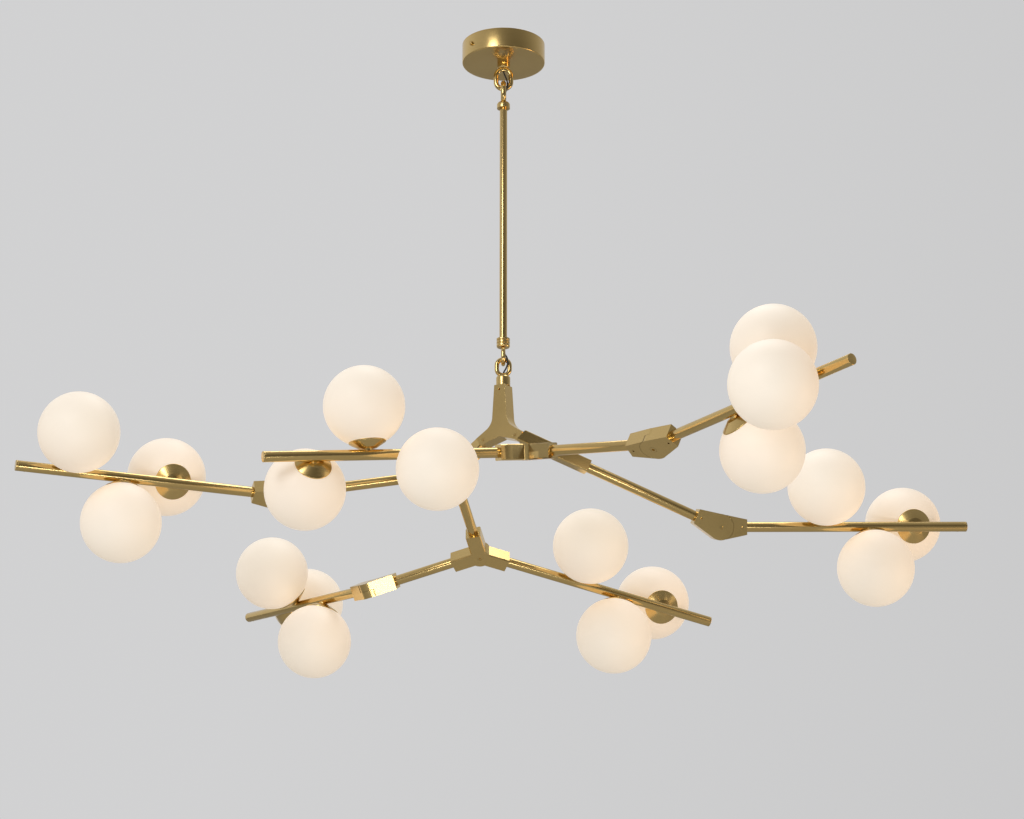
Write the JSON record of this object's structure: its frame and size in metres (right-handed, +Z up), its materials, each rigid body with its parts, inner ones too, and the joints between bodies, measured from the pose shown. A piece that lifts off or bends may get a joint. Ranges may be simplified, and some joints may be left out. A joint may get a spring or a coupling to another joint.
{
  "type": "branch chandelier",
  "caption": "Brass ceiling chandelier: a canopy and linked down rod carry a branching hub whose hinged bars hold clusters of opal glass globes.",
  "frame": {"origin": "middle of the face that meets the ceiling, between the two ceiling screws", "axes": "+Z up into the ceiling, -Y towards the viewer in the picture, +X to the viewer's right"},
  "size_m": [1.4571, 1.1488, 0.996],
  "materials": {
    "satin_brass": "fine brushed satin",
    "polished_brass": "polished",
    "opal_glass": "opal white, satin, lit from inside",
    "lamp_glass": "frosted",
    "porcelain": "unglazed porcelain",
    "white_plastic": "matt",
    "zinc_steel": "zinc plated",
    "black_cable": "matt black sheath"
  },
  "bodies": {
    "ceiling": {"ceiling_bracket": "zinc_steel", "canopy": "satin_brass", "canopy_screws": "satin_brass", "canopy_loop": "polished_brass", "loop_nuts": "zinc_steel", "terminal_block": "white_plastic", "cable_canopy": "black_cable"},
    "rod": {"rod_top_loop": "polished_brass", "down_rod": "polished_brass", "rod_bottom_loop": "polished_brass", "cable_rod": "black_cable"},
    "hub": {"hub_loop": "polished_brass", "riser": "satin_brass", "hub_screws": "satin_brass", "front_block": "satin_brass", "side_leg": "satin_brass", "rear_block": "satin_brass", "far_block": "satin_brass", "cable_hub": "black_cable", "front_tube": "polished_brass", "right_tube": "polished_brass", "left_tube": "polished_brass", "link_tube": "polished_brass", "back_tube": "polished_brass", "knuckle_bases": "satin_brass", "fore_bar": "polished_brass", "far_bar": "polished_brass", "fixed_end_caps": "satin_brass", "fixed_cups": "polished_brass", "fixed_lampholders": "porcelain", "fixed_bulbs": "lamp_glass", "fixed_globes": "opal_glass"},
    "front_arm": {"front_knuckle": "satin_brass", "front_bar": "polished_brass", "front_end_cap": "satin_brass", "front_cups": "polished_brass", "front_lampholders": "porcelain", "front_bulbs": "lamp_glass", "front_globes": "opal_glass"},
    "right_arm": {"right_knuckle": "satin_brass", "right_bar": "polished_brass", "right_end_cap": "satin_brass", "right_cups": "polished_brass", "right_lampholders": "porcelain", "right_bulbs": "lamp_glass", "right_globes": "opal_glass"},
    "left_arm": {"left_knuckle": "satin_brass", "left_bar": "polished_brass", "left_end_cap": "satin_brass", "left_cups": "polished_brass", "left_lampholders": "porcelain", "left_bulbs": "lamp_glass", "left_globes": "opal_glass"},
    "back_arm": {"back_knuckle": "satin_brass", "back_bar": "polished_brass", "back_end_cap": "satin_brass", "back_cups": "polished_brass", "back_lampholders": "porcelain", "back_bulbs": "lamp_glass", "back_globes": "opal_glass"}
  },
  "joints": [
    {"name": "canopy_swing", "type": "hinge", "parent": "ceiling", "child": "rod", "pos_m": [0, 0, -0.077], "axis": [1, 0, 0], "range_deg": [-12, 12]},
    {"name": "hub_swing", "type": "hinge", "parent": "rod", "child": "hub", "pos_m": [0, 0, -0.5432], "axis": [0, 1, 0], "range_deg": [-12, 12]},
    {"name": "front_hinge", "type": "hinge", "parent": "hub", "child": "front_arm", "pos_m": [0.22096, -0.23853, -0.73712], "axis": [-0.34, -0.3236, -0.883], "range_deg": [-60, 20]},
    {"name": "right_hinge", "type": "hinge", "parent": "hub", "child": "right_arm", "pos_m": [0.33678, 0.06258, -0.79008], "axis": [0.1538, -0.9556, -0.2515], "range_deg": [-64, 16]},
    {"name": "left_hinge", "type": "hinge", "parent": "hub", "child": "left_arm", "pos_m": [-0.34338, -0.00884, -0.75655], "axis": [-0.1728, 0.5127, 0.841], "range_deg": [-59, 21]},
    {"name": "back_hinge", "type": "hinge", "parent": "hub", "child": "back_arm", "pos_m": [-0.2112, 0.20601, -0.85792], "axis": [-0.3214, -0.2786, 0.905], "range_deg": [-2, 78]}
  ]
}
